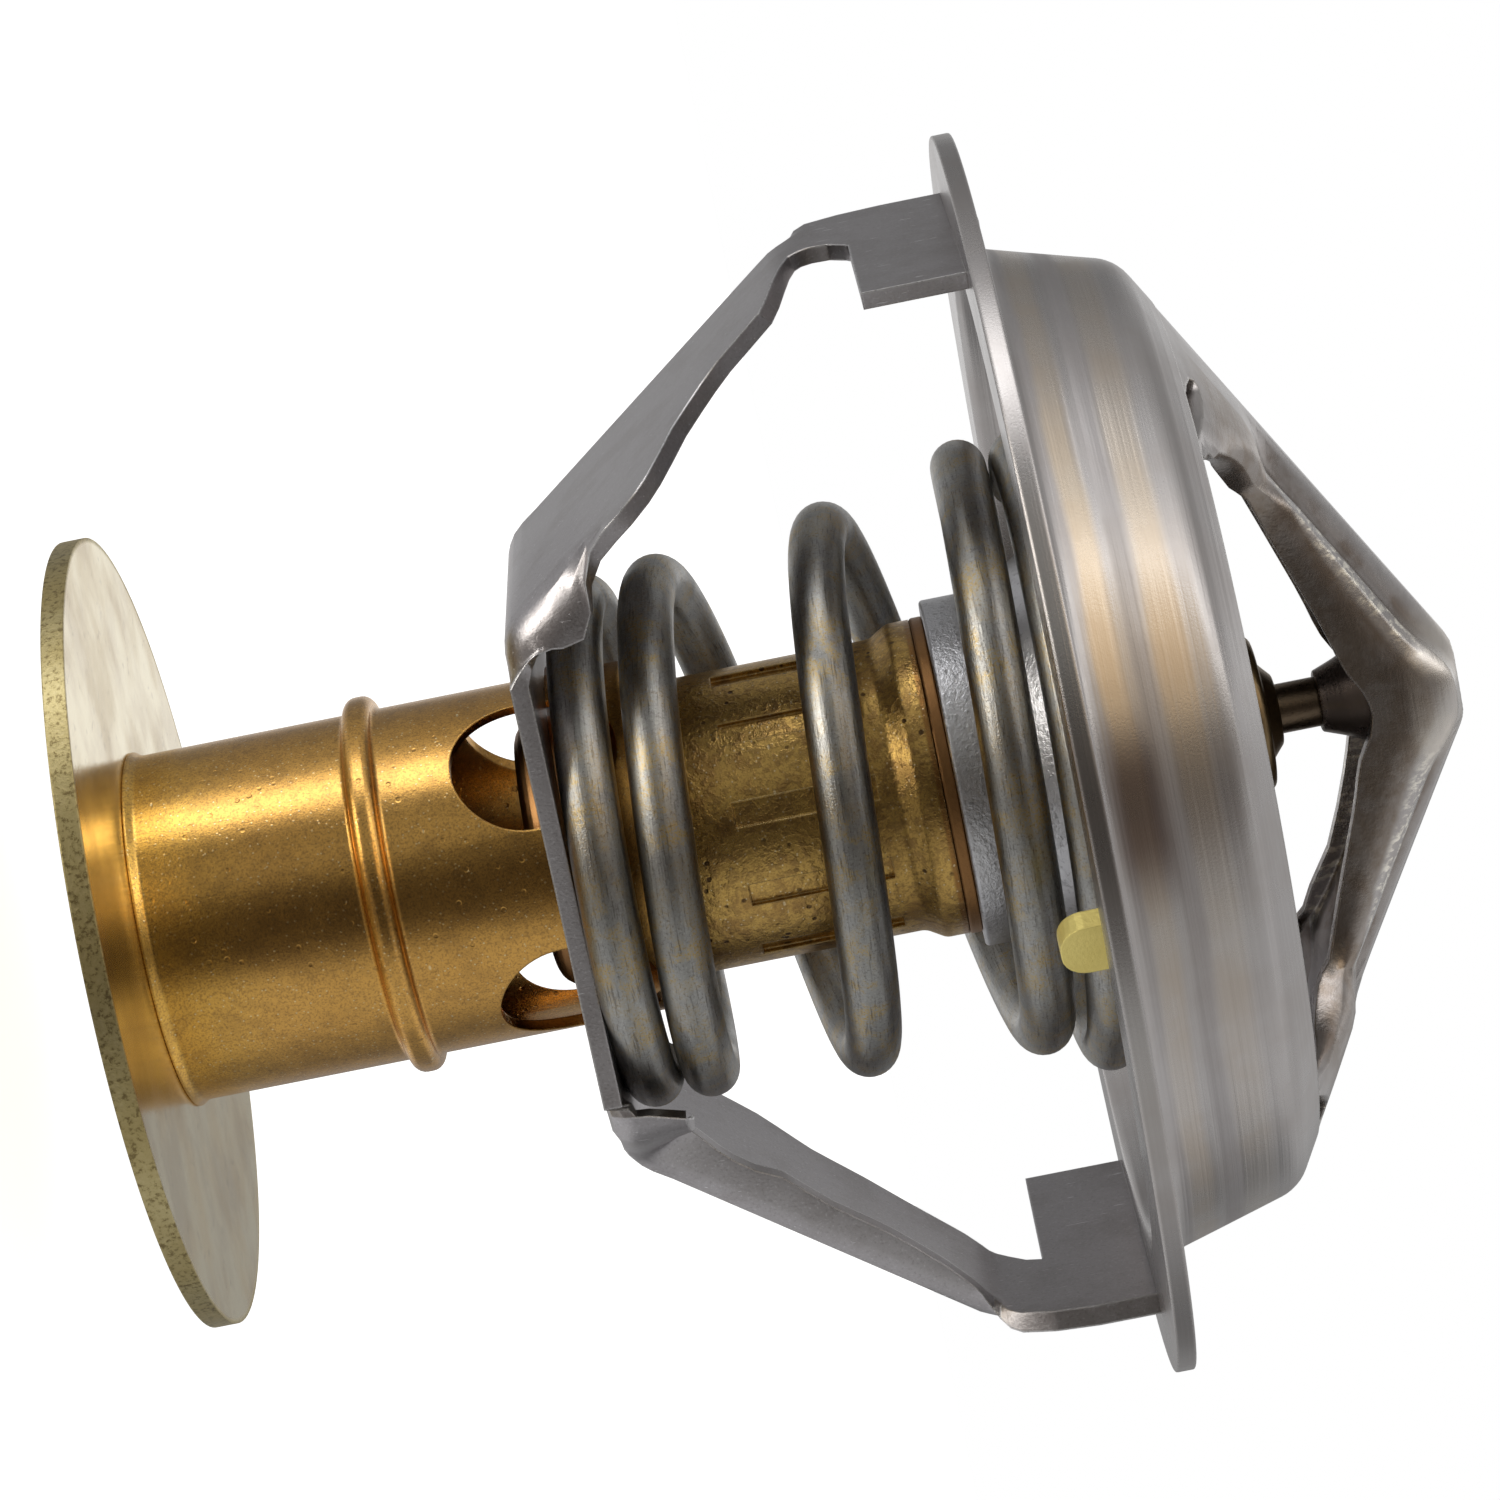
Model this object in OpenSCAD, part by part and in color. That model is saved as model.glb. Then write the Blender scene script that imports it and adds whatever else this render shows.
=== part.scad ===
// Engine thermostat with a bypass sleeve: drawn steel housing with a bridge, stamped lower frame,
// sprung main valve on a wax element, windowed sleeve and bypass disc.
// Z is the valve axis, up towards the bridge. The origin is at the centre of the disc's underside.

/* [Housing] */
// Outer diameter of the mounting flange
flange_d = 65; // [64:0.5:72]
// Height of the flange's underside above the disc's underside
flange_z = 48.2; // [47.6:0.1:50]
// Sheet thickness of the housing
housing_t = 1; // [0.8:0.05:1.2]
// Outer diameter of the cup where it leaves the flange
cup_d = 53; // [52:0.2:55]
// Taper of the cup wall, which is the main valve's seat
cup_taper = 16; // [12:1:18]
// Height of the cup from the flange to its shoulder
cup_h = 7.05; // [6.4:0.05:8]
// Rise of the bridge arms above the horizontal
bridge_rise = 30.8; // [28:0.1:33]
// Diameter of the rim left open between the bridge arms
rim_d = 44.3; // [43.5:0.1:45.5]
// Half width of the bridge arms over most of their length
arm_half_w = 5.2; // [4.6:0.1:6]
// Turn of the bridge about the axis, against the lower frame
bridge_turn = -6; // [-15:1:15]
// Depth of the groove on each side of the arms' raised rib
rib_h = 1.5; // [0.8:0.1:1.8]

/* [Lower frame] */
// Height of the underside of the spring's seat plate
seat_z = 22.4; // [22:0.1:23]
// Sheet thickness of the frame
frame_t = 0.95; // [0.8:0.05:1.1]
// Width of the seat plate
seat_w = 24; // [23:0.5:26]
// Half length of the seat plate's underside, to its bends
seat_half_l = 15.4; // [15:0.1:15.8]
// Distance of the tabs' outer faces from the axis
tab_x = 28.3; // [28:0.1:29]
// Slope of the arms, from the axis
arm_slope = 37; // [35:0.5:39]
// Width of the tabs
tab_w = 18.6; // [16:0.2:20]
// Width of the tenons that pass through the flange
tenon_w = 8.5; // [7:0.5:9]
// Height of the tenons above the flange
tenon_h = 0.45; // [0.3:0.05:1.4]
// Height of the lip folded in along one edge of each arm
lip_h = 2.6; // [2:0.1:3]

/* [Main valve] */
// Height of the spring's upper seat above the flange's upper face
valve_inset = 1.7; // [1.4:0.1:2.2]
// Sheet thickness of the valve
valve_t = 0.9; // [0.7:0.05:1]
// Outer diameter of the valve's hub
hub_d = 18.3; // [18:0.1:19]
// Length of the hub and dish below the spring's seat
hub_h = 7.9; // [7:0.1:8.4]
// Gap between the valve's rim and the cup wall
seat_gap = 0.3; // [0.25:0.05:0.4]
// Diameter of the jiggle pin's hole
vent_d = 2.3; // [2.1:0.1:2.5]
// Distance of the jiggle pin from the axis
vent_r = 20; // [19.4:0.1:20.6]
// Direction of the jiggle pin from the axis
vent_angle = -81.5; // [-95:0.5:-70]
// Travel of the jiggle pin
vent_travel = 1.5; // [1:0.1:2]

/* [Spring] */
// Diameter of the spring wire
wire_d = 2.9; // [2.6:0.05:3]
// Outer diameter of the end coil on the seat plate
spring_d_low = 28.1; // [27.6:0.1:28.8]
// Outer diameter of the end coil on the valve
spring_d_high = 33.8; // [33:0.1:34.4]
// Turns of the spring, with its closed ends
spring_turns = 4.6; // [4.2:0.1:5]

/* [Sleeve and disc] */
// Diameter of the bypass disc
disc_d = 41.7; // [38:0.5:46]
// Thickness of the bypass disc
disc_t = 1.15; // [0.9:0.05:1.5]
// Outer diameter of the sleeve
sleeve_d = 18.3; // [17.8:0.1:18.6]
// Wall of the sleeve
sleeve_t = 0.6; // [0.5:0.05:0.7]
// Outer diameter of the sleeve's neck
neck_d = 15.4; // [15:0.1:16]
// Height of the rolled bead
bead_z = 13.4; // [8:0.2:15]
// Lower end of the windows
window_z = 18; // [16:0.2:18.8]
// Width of the windows, measured across the sleeve
window_w = 7.6; // [6:0.2:8.4]
// Height of the windows
window_h = 8.6; // [8:0.2:9]
// Number of stamped dents round the neck
dent_count = 11; // [8:1:12]
// Depth of the stamped dents
dent_depth = 0.3; // [0.15:0.05:0.4]

/* [Element] */
// Diameter of the piston
piston_d = 2.6; // [2.2:0.1:3]
// Height of the guide's shoulder above the flange's upper face
guide_h = 10.2; // [9.6:0.1:10.6]
// Diameter of the guide's boss
guide_d = 8.2; // [7.4:0.2:9]
// Height of the wax cup's closed end above the disc's underside
element_z = 21; // [19:0.2:22]

/* [Hidden] */
$fn = 72;

// Clearances of parts that fit in one another
fit = 0.05;
piston_gap = 0.04;
sleeve_gap = 0.45;

// Housing heights and radii
flange_r = flange_d / 2;
flange_top = flange_z + housing_t;
cup_r = cup_d / 2;
rim_r = rim_d / 2;
flange_fillet = 1.1;
// The cone of the shoulder and arms meets the wall at the shoulder
shoulder_z = flange_top + cup_h;
shoulder_r = cup_r - cup_h * tan(cup_taper);
shoulder_round = 2.4;
apex_z = shoulder_z + shoulder_r * tan(bridge_rise);
nose_round = 5;
nose_cz = apex_z - nose_round / cos(bridge_rise);
nose_edge = nose_round * sin(bridge_rise);

// Main valve heights
valve_z = flange_top + valve_inset;
hub_z = valve_z - hub_h;
hub_r = hub_d / 2;
dish_r = spring_d_high / 2 - wire_d - 0.9;
valve_lip_h = 2.3;

// Element heights
collar_z = flange_top + 13.1;
piston_r = piston_d / 2;
element_flange_t = 0.7;
element_flange_z = hub_z - element_flange_t;
guide_top = flange_top + guide_h;
neck_r = neck_d / 2;
sleeve_r = sleeve_d / 2;

// Radius of the cup wall's inside at a height
function cup_inside(z) =
    cup_r - (z - flange_top) * tan(cup_taper) - housing_t / cos(cup_taper);

// Smooth step from 0 to 1 as x goes from a to b
function blend(x, a, b) =
    let (u = min(1, max(0, (x - a) / (b - a)))) u * u * (3 - 2 * u);

function unit(v) = v / norm(v);

// Outline through points [x, y, r], each corner rounded with its radius r
function rounded(points, steps = 6) = [
    for (i = [0 : len(points) - 1])
        let (
            n = len(points),
            p = [points[i].x, points[i].y],
            q = [points[(i + n - 1) % n].x, points[(i + n - 1) % n].y],
            s = [points[(i + 1) % n].x, points[(i + 1) % n].y],
            r = points[i][2],
            a = unit(q - p),
            b = unit(s - p),
            half = acos(min(1, max(-1, a * b))) / 2,
            reach = r / tan(half),
            centre = p + unit(a + b) * (r / sin(half)),
            from = p + a * reach - centre,
            to = p + b * reach - centre,
            start = atan2(from.y, from.x),
            sweep = ((atan2(to.y, to.x) - start + 540) % 360) - 180
        )
        each r == 0 ? [p] : [for (k = [0 : steps])
            centre + r * [cos(start + sweep * k / steps), sin(start + sweep * k / steps)]]
];

module turned(section) {
    rotate_extrude() polygon(section);
}

// Drawn cup with its flange, up to the rim that is open between the arms
module drawn_cup() {
    taper = tan(cup_taper);
    inner = housing_t / cos(cup_taper);
    drop = housing_t / cos(bridge_rise);
    rim_z = apex_z - rim_r * tan(bridge_rise);
    // Corner where the inner faces of the wall and the cone meet
    in_r = (apex_z - drop - flange_top - (cup_r - inner) / taper) / (tan(bridge_rise) - 1 / taper);
    in_z = apex_z - drop - in_r * tan(bridge_rise);
    turned(rounded([
        [cup_inside(flange_z), flange_z, flange_fillet * 0.6],
        [flange_r, flange_z, 0.12],
        [flange_r, flange_top, 0.12],
        [cup_r, flange_top, flange_fillet],
        [shoulder_r, shoulder_z, shoulder_round],
        [rim_r, rim_z, 0],
        [rim_r, rim_z - drop, 0],
        [in_r, in_z, shoulder_round - housing_t]
    ]));
}

// Height of the arms' outer crest at a distance from the axis
function crest_z(x) = let (a = abs(x))
    a > nose_edge ? apex_z - a * tan(bridge_rise) : nose_cz + sqrt(nose_round ^ 2 - a ^ 2);

// Half width of the arms: narrow, then flared into lobes at the root
function arm_width(x) = arm_half_w + lookup(abs(x), [
    [10, 0], [12, 0.35], [13.9, 0.8], [15.3, 1.8], [16.9, 3.3], [18.2, 4.8], [19.8, 6.8],
    [21, 8.1], [22, 9.1]]);

// Depth of the folded edges of the arms below the sheet they are folded from
function wing_depth(x) = lookup(abs(x), [
    [0, 5.5], [1, 5.6], [2.2, 5.9], [3.2, 5.65], [4.6, 5.2], [6.5, 4.75], [8.8, 4.2], [10.8, 3.75],
    [12.5, 3.25], [13.9, 3], [15.3, 2.65], [16.9, 2.2], [18.2, 1.6], [19.8, 1.05], [21, 0.6],
    [22, 0.3], [22.3, 0]]);

// One side of the arm's section, from the rib's crest to the folded edge:
// share of the half width, share of the rib's depth, share of the edge's depth
arm_section = [
    [0, 0, 0], [0.2, 0.04, 0], [0.33, 0.28, 0], [0.44, 0.72, 0], [0.54, 0.97, 0], [0.67, 1, 0.01],
    [0.8, 0.92, 0.05], [0.91, 0.92, 0.17], [0.98, 0.96, 0.4], [1, 1, 0.7], [1, 1, 1]];
arm_steps = len(arm_section) - 1;

// How far the arm's section is formed into a flat rib with upright edges, from 0 at the root to 1
function formed(x) = 1 - blend(abs(x), 19, 23);

// How deep the rib is, from 0 at the root to 1
function ribbed(x) = 1 - blend(abs(x), 12.5, 17);

// The arm's sheet lies a little inside the cup's sheet where the two are joined
skin_gap = 0.05;
arm_t = housing_t - 2 * skin_gap;
// One folded edge is shallower than the others
far_wing = 0.8;

// Point of the arm's outer face, at distance x along the bridge and at section step k
function arm_point(x, k) =
    let (
        s = arm_section[abs(k)],
        f = formed(x),
        y = sign(k) * arm_width(x) * (f * s[0] + (1 - f) * abs(k) / arm_steps),
        round_root = blend(abs(x), 11.5, 15),
        arc = abs(x) - sqrt(max(0, x ^ 2 - y ^ 2)),
        rib = rib_h * ribbed(x) * (0.5 + 0.5 * blend(abs(x), 1, 4)),
        far = x > 0 && k > 0 ? far_wing * (blend(x, 0.4, 2.4) - blend(x, 8, 12)) : 0,
        fall = rib * s[1] + max(0, wing_depth(x) - far - rib) * s[2]
    )
    [sign(x) * (abs(x) - round_root * arc), y, crest_z(x) - skin_gap / cos(bridge_rise) - fall];

// The same point on the inner face
function arm_inner_point(x, k) =
    let (
        p = arm_point(x, k),
        a = arm_point(x, max(-arm_steps, k - 1)),
        b = arm_point(x, min(arm_steps, k + 1)),
        along = unit([b.y - a.y, b.z - a.z]),
        slope = bridge_rise * blend(abs(x), 0, nose_edge * 1.6)
    )
    p + arm_t * [0, along.y, -along.x / cos(slope)];

arm_stations = [0, 0.6, 1.2, 1.8, 2.4, 3.2, 4, 5.2, 7, 9, 11, 12.4, 13.6, 14.6, 15.4, 16.2, 17,
                17.8, 18.6, 19.4, 20.2, 21, 21.6, 22, rim_r + 0.8];

// Sheet between two grids of points, each of so many rows
module skin(upper, lower, rows) {
    size = len(upper);
    cols = size / rows;
    top = [for (i = [0 : rows - 2], j = [0 : cols - 2])
        let (a = i * cols + j) each [[a, a + 1, a + cols], [a + 1, a + cols + 1, a + cols]]];
    under = [for (f = top) [f[0] + size, f[2] + size, f[1] + size]];
    edges = [for (i = [0 : rows - 2], j = [0, cols - 1])
        let (a = i * cols + j, b = a + cols, c = a + size, d = b + size)
        each j == 0 ? [[a, b, c], [b, d, c]] : [[a, c, b], [b, c, d]]];
    ends = [for (i = [0, rows - 1], j = [0 : cols - 2])
        let (a = i * cols + j, b = a + 1, c = a + size, d = b + size)
        each i == 0 ? [[a, c, b], [b, c, d]] : [[a, b, c], [b, d, c]]];
    polyhedron(points = concat(upper, lower), faces = concat(top, under, edges, ends));
}

// Bridge of two arms in one sheet over the nose
module bridge() {
    n = len(arm_stations);
    xs = [for (i = [n - 1 : -1 : 1]) -arm_stations[i], each arm_stations];
    skin([for (x = xs, k = [-arm_steps : arm_steps]) arm_point(x, k)],
         [for (x = xs, k = [-arm_steps : arm_steps]) arm_inner_point(x, k)], len(xs));
}

// Slit between the root of an arm and the rim, beside each lobe
slit = [[19.05, 8.15], [18.75, 8.35], [18.2, 9.5], [17.72, 10.6], [17.25, 11.9], [16.6, 13.8],
        [16.4, 14.5], [15.9, 15.42]];
module root_slits() {
    rest = [[16.16, 15.15], [17.2, 13.96], [18.16, 12.68], [18.85, 11.3], [19.2, 9.9], [19.3, 8.7]];
    for (turn = [0, 180], side = [-1, 1])
        rotate([0, 0, turn]) scale([1, side, 1]) translate([0, 0, shoulder_z - 4])
            linear_extrude(height = 10) polygon(concat(slit, rest));
}

// Collar drawn down from the nose, which holds the piston's tip
tip_r = piston_r - 0.4;
collar_mouth_r = 2.6;
module piston_collar(inside) {
    base = crest_z(0);
    if (inside)
        turned([
            [0, collar_z - 1], [tip_r + 0.02, collar_z - 1], [tip_r + 0.02, collar_z + 1],
            [1.5, collar_z + 3], [1.7, base - 2.2], [2.1, base - 1.2], [collar_mouth_r, base + 0.5],
            [0, base + 0.5]
        ]);
    else
        turned(rounded([
            [0, collar_z, 0], [piston_r + 0.3, collar_z, 0.15], [piston_r + 0.75, collar_z + 1.2, 1.5],
            [2.9, collar_z + 3, 2], [2.6, base - 2.6, 0], [2.9, base - 1.3, 0], [0, base - 1.3, 0]
        ]));
}

module flange_slot() {
    translate([tab_x - frame_t - fit, -tab_side - fit, flange_z - 1])
        cube([frame_t + 2 * fit, tenon_w + 2 * fit, housing_t + 2]);
}

module housing() {
    color("darkgray") difference() {
        union() {
            drawn_cup();
            rotate([0, 0, bridge_turn]) difference() {
                bridge();
                root_slits();
            }
            piston_collar(false);
        }
        piston_collar(true);
        for (turn = [0, 180]) rotate([0, 0, turn]) flange_slot();
    }
}

// Path of the frame's outer face, by the distance s along it from the middle of the seat plate:
// plate, root bend, arm, knee bend and tab
seat_top = seat_z + frame_t;
arm_top_z = flange_top + tenon_h;
knee_z = seat_z + (tab_x - seat_half_l) / tan(arm_slope);
bend_r = 3;
root_turn = 90 - arm_slope;
root_reach = bend_r * tan(root_turn / 2);
knee_reach = bend_r * tan(arm_slope / 2);
root_s = seat_half_l - root_reach;
arm_s = root_s + bend_r * root_turn * PI / 180;
knee_s = arm_s + norm([tab_x - seat_half_l, knee_z - seat_z]) - root_reach - knee_reach;
tab_s = knee_s + bend_r * arm_slope * PI / 180;

function path_turn(s) =
    root_turn * min(1, max(0, (s - root_s) / (arm_s - root_s)))
    + arm_slope * min(1, max(0, (s - knee_s) / (tab_s - knee_s)));

function path(s) =
    s <= root_s ? [s, seat_z]
    : s <= arm_s ? [root_s, seat_z] + bend_r * [sin(path_turn(s)), 1 - cos(path_turn(s))]
    : s <= knee_s ? path(arm_s) + (s - arm_s) * [cos(root_turn), sin(root_turn)]
    : s <= tab_s ? path(knee_s) + bend_r * [sin(path_turn(s)) - sin(root_turn),
                                           cos(root_turn) - cos(path_turn(s))]
    : path(tab_s) + [0, s - tab_s];

// Distance along the path at a height on the arm or tab
function path_s(z) =
    let (a = path(arm_s).y, k = path(knee_s).y, t = path(tab_s).y)
    z <= k ? arm_s + (z - a) / sin(root_turn)
    : z <= t ? knee_s + (tab_s - knee_s) * (z - k) / (t - k)
    : tab_s + z - t;

// Half widths of the frame: [s, width] on the plate and root, then [height, width] up the arm
tab_side = tab_w / 2 - 0.3;
edge_step = 0.05;
notch_z = 42.8;
function edge(plate, arm) = concat(plate, [for (p = arm) [path_s(p[0]), p[1]]]);
lip_edge = edge(
    [[0, seat_w / 2], [10.6, seat_w / 2], [12.4, 11], [14.4, 8.1], [15.7, 7.1], [17.8, 6.8]],
    [[38.3, 6.8], [39.4, 6.9], [39.9, 7.15], [40.85, 8.05], [42.65, 8.7], [45, tab_side],
     [arm_top_z - 0.2, tab_side], [arm_top_z, tab_side - 0.25]]);
function tab_edge(notch) = [
    [notch - edge_step, -1.2], [notch, tab_w / 2 + 0.3], [flange_z, tab_w / 2 + 0.3],
    [flange_z + edge_step, tenon_w - tab_side], [arm_top_z - 0.2, tenon_w - tab_side],
    [arm_top_z, tenon_w - tab_side - 0.25]];
// Cut edge of the arm at -X, with the wide root
wide_edge = edge(
    [[0, seat_w / 2], [arm_s, seat_w / 2]],
    concat([[27.4, 12.1], [28.4, 12.7], [29.6, 12.7], [30.4, 12.2], [31.1, 11.3], [31.9, 9.6],
     [32.7, 7.7], [33.7, 6.4], [34.5, 5.5], [35.4, 4.8], [37, 4.5], [37.9, 4.3], [38.4, 2.9],
     [38.9, 1], [39.4, -0.6], [40, -2], [41, -2.5], [notch_z - 0.5, -2.4]], tab_edge(notch_z + 0.2)));
// Cut edge of the arm at X, with the narrow root
narrow_edge = edge(
    [[0, seat_w / 2], [13.9, seat_w / 2], [15.2, 11], [arm_s, 8.6]],
    concat([[26.4, 7.4], [28.1, 7], [28.8, 6.7], [30, 5.8], [31.2, 5], [33.5, 4.35], [35.5, 3.5],
     [37.4, 2.8], [38.3, 2.5], [39.25, 1.9], [39.9, 1.05], [40.8, 0.2], [41.3, -0.4], [41.9, -0.9]],
     tab_edge(notch_z)));

// Folded lips: [s, share of the full fold, height above the outer face]
lip_fold = concat(
    [[0, 0, frame_t], [9.95, 0, frame_t], [10.2, 1, 1.3], [10.6, 1, 1.45], [10.7, 1, 2.2], [11, 1, 2.95],
     [11.4, 1, 3.95], [12.8, 1, 4], [14, 1, 4.2], [15.3, 1, 4.1], [arm_s, 1, 3.5]],
    [for (p = [[26, 0.2], [27.2, 0.1], [28.5, 0.4], [31, 0], [33.5, -0.05], [35, -0.25], [36.5, -0.5],
               [37.6, -0.75]]) [path_s(p[0]), 1, lip_h + p[1]]],
    [[path_s(38.4), 0.9, frame_t + 0.65], [path_s(39.3), 0.6, frame_t + 0.35], [path_s(40.6), 0, frame_t],
     [path_s(60), 0, frame_t]]);
corner_fold = concat(
    [[0, 0, frame_t], [12.9, 0, frame_t], [13.5, 0.25, 1.3], [14.1, 0.5, 1.8], [14.7, 0.66, 2.3],
     [15.3, 0.76, 2.6], [15.9, 0.85, 2.65], [arm_s, 0.96, 2.8]],
    [for (p = [[24.5, 1, 3.1], [25.6, 0.85, 2.9], [26.4, 0.5, 2.4], [27.4, 0.15, 1.2],
               [28.5, 0, frame_t]]) [path_s(p[0]), p[1], p[2]]],
    [[path_s(60), 0, frame_t]]);
no_fold = [[0, 0, frame_t], [60, 0, frame_t]];
function fold_share(table, s) = lookup(s, [for (p = table) [p[0], p[1]]]);
function fold_height(table, s) = lookup(s, [for (p = table) [p[0], p[2]]]);

// Outer radii of the folds. The sheared edges slant, so that the inner face is a little narrower
fold_r = 1.5;
corner_r = 2.2;
cut_lean = 0.45;
// Points round a full fold, and their distances from the edge where the sheet is flat
fold_angles = [0, 35, 65, 90];
fold_flat = [1.9, 1.5, 1.1, 0.7];

// One side of the frame's section, [width, height] from the middle out to the top of its lip.
// The fold's thickness is kept where the edge runs across the strip
function section(table, folds, s, inner, bend) =
    let (
        y = lookup(s, table),
        f = fold_share(folds, s),
        h = fold_height(folds, s),
        slope = (lookup(s + 0.2, table) - lookup(s - 0.2, table)) / 0.4,
        skew = sqrt(1 + f * min(4, slope ^ 2)),
        r = bend - inner,
        lean = inner > 0 && s > root_s ? cut_lean * (1 - f) : 0,
        arc = [for (k = [0 : len(fold_angles) - 1])
            let (a = fold_angles[k])
            [y - skew * (f * (bend - r * sin(a)) + (1 - f) * fold_flat[k]) - lean,
             f * (bend - r * cos(a)) + (1 - f) * inner]]
    )
    concat(arc, [[y - skew * f * inner - lean, f * max(h, bend + 0.02) + (1 - f) * inner]]);

// Direction in which the lips stand up; it turns over a longer way than the bend itself
function lip_turn(s) = root_turn * blend(s, root_s - 3, arm_s + 3) + path_turn(s)
    - root_turn * min(1, max(0, (s - root_s) / (arm_s - root_s)));

stations = concat(
    [0, 5, 9.9, 10.15, 10.6, 10.7, 11, 11.4, 12.1, 12.8, 13.5, 14.1, 14.7, 15.3, 15.9, arm_s],
    [for (z = [24.5, 25.6, 26.4, 27.4, 28.5, 29.4, 30.4, 31.1, 31.9, 32.7, 33.7, 34.5, 35.4, 36.5, 37.9,
               38.4, 38.9, 39.4, 39.9, 40.4, 41, 41.9, notch_z - edge_step, notch_z,
               notch_z + 0.2 - edge_step, notch_z + 0.2, 45, flange_z, flange_z + edge_step,
               arm_top_z - 0.2, arm_top_z]) path_s(z)]);

// Points of one cross row of the frame, from -Y to Y, on its outer or inner face
function frame_row(s, right, inner) =
    let (
        cut = right ? narrow_edge : wide_edge,
        a = section(lip_edge, lip_fold, s, inner, fold_r),
        b = section(cut, right ? no_fold : corner_fold, s, inner, corner_r),
        n = len(a),
        middle = [(b[0].x - a[0].x) / 2, inner],
        row = concat([for (i = [n - 1 : -1 : 0]) [-a[i].x, a[i].y]], [middle], b),
        p = path(s),
        turn = path_turn(s),
        lean = lip_turn(s),
        side = right ? 1 : -1
    )
    [for (i = [0 : len(row) - 1])
        let (
            q = right ? row[i] : row[len(row) - 1 - i],
            up = min(q.y, i == 0 || i == len(row) - 1 ? fold_r : corner_r),
            more = q.y - up
        )
        [side * (p.x - up * sin(turn) - more * sin(lean)), side * q.x,
         p.y + up * cos(turn) + more * cos(lean)]];

module frame_strip() {
    n = len(stations);
    rows = concat([for (i = [n - 1 : -1 : 1]) [stations[i], false]], [for (s = stations) [s, true]]);
    outer = [for (r = rows) each frame_row(r[0], r[1], 0)];
    inner = [for (r = rows) each frame_row(r[0], r[1], frame_t)];
    skin(inner, outer, len(rows));
}

module lower_frame() {
    color("gray") difference() {
        frame_strip();
        translate([0, 0, seat_z - 1]) cylinder(r = sleeve_r + sleeve_gap, h = frame_t + 2);
    }
}

module piston() {
    color("saddlebrown") turned([
        [0, element_z + 4.5], [piston_r - 0.3, element_z + 4.5], [piston_r, element_z + 4.8],
        [piston_r, collar_z], [tip_r, collar_z], [tip_r, collar_z + 1.6], [0, collar_z + 1.6]
    ]);
}

// Drawn valve: hub, dish with the spring's seat, and a rim lip parallel to the cup wall
module main_valve() {
    t = valve_t;
    lean = tan(cup_taper);
    rim = cup_inside(valve_z) - seat_gap;
    rim_up = rim - valve_lip_h * lean;
    dish_z = hub_z + 3.4;
    color("silver") difference() {
        turned(rounded([
            [hub_r, hub_z, 0.2],
            [hub_r, dish_z, 1.6],
            [dish_r - 0.8, valve_z, 1],
            [rim, valve_z, 1.2],
            [rim_up, valve_z + valve_lip_h, 0.2],
            [rim_up - t, valve_z + valve_lip_h, 0.2],
            [rim - t - t * lean, valve_z + t, 0.3],
            [dish_r - 1.3, valve_z + t, 1.9],
            [hub_r - t, dish_z + 0.6, 2.5],
            [hub_r - t, hub_z, 0.2]
        ]));
        rotate([0, 0, vent_angle]) translate([vent_r, 0, valve_z - 1])
            cylinder(d = vent_d, h = t + 2);
    }
}

step_z = window_z + window_h + 0.8;
bead_w = 1.5;
bead_h = 0.8;
module window() {
    r = window_w / 2;
    translate([0, 0, window_z + r]) rotate([0, 90, 0]) cylinder(r = r, h = sleeve_r + 1);
    translate([0, 0, window_z + window_h - r]) rotate([0, 90, 0]) cylinder(r = r, h = sleeve_r + 1);
    translate([0, -r, window_z + r]) cube([sleeve_r + 1, window_w, window_h - window_w]);
}

dent_w = 1.3;
dent_h = 7.4;
dent_z = element_flange_z - 10.6;
module bypass_sleeve() {
    t = sleeve_t;
    r = sleeve_r;
    n = neck_r;
    flare_r = hub_r - 0.85;
    top = element_flange_z;
    color("peru") difference() {
        turned(rounded([
            [r + 0.35, disc_t, 0.1],
            [r, disc_t + 0.5, 0.4],
            [r, bead_z - bead_w / 2, 0.25],
            [r + bead_h, bead_z - bead_w / 2, 0.6],
            [r + bead_h, bead_z + bead_w / 2, 0.6],
            [r, bead_z + bead_w / 2, 0.25],
            [r, step_z, 0.9],
            [n, step_z + 1.4, 0.8],
            [n, top - 2.2, 1],
            [flare_r, top - 1.2, 0.8],
            [flare_r, top, 0],
            [n - t, top, 0],
            [n - t, step_z + 1.1, 0.5],
            [r - t, step_z - 0.3, 0.5],
            [r - t, disc_t, 0]
        ]));
        for (turn = [-52 : 90 : 218]) rotate([0, 0, turn]) window();
        for (i = [0 : dent_count - 1])
            rotate([0, 0, vent_angle - 28 + i * 360 / dent_count])
                translate([n - dent_depth, -dent_w / 2, dent_z]) cube([1, dent_w, dent_h]);
    }
}

module bypass_disc() {
    color("goldenrod") cylinder(r = disc_d / 2, h = disc_t);
}

cup_wall = 0.6;
cup_out_r = neck_r - sleeve_t - fit;
boot_r = 3.1;
boot_flange_t = 1.1;
module element_cup() {
    r = cup_out_r;
    flange = hub_r - 0.8;
    color("sienna") turned(rounded([
        [0, element_z, 0],
        [r, element_z, 1.2],
        [r, element_flange_z, 0],
        [flange, element_flange_z, 0.2],
        [flange, hub_z, 0.1],
        [r - cup_wall, hub_z, 0],
        [r - cup_wall, element_z + cup_wall, 0.6],
        [0, element_z + cup_wall, 0]
    ]));
}

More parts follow.
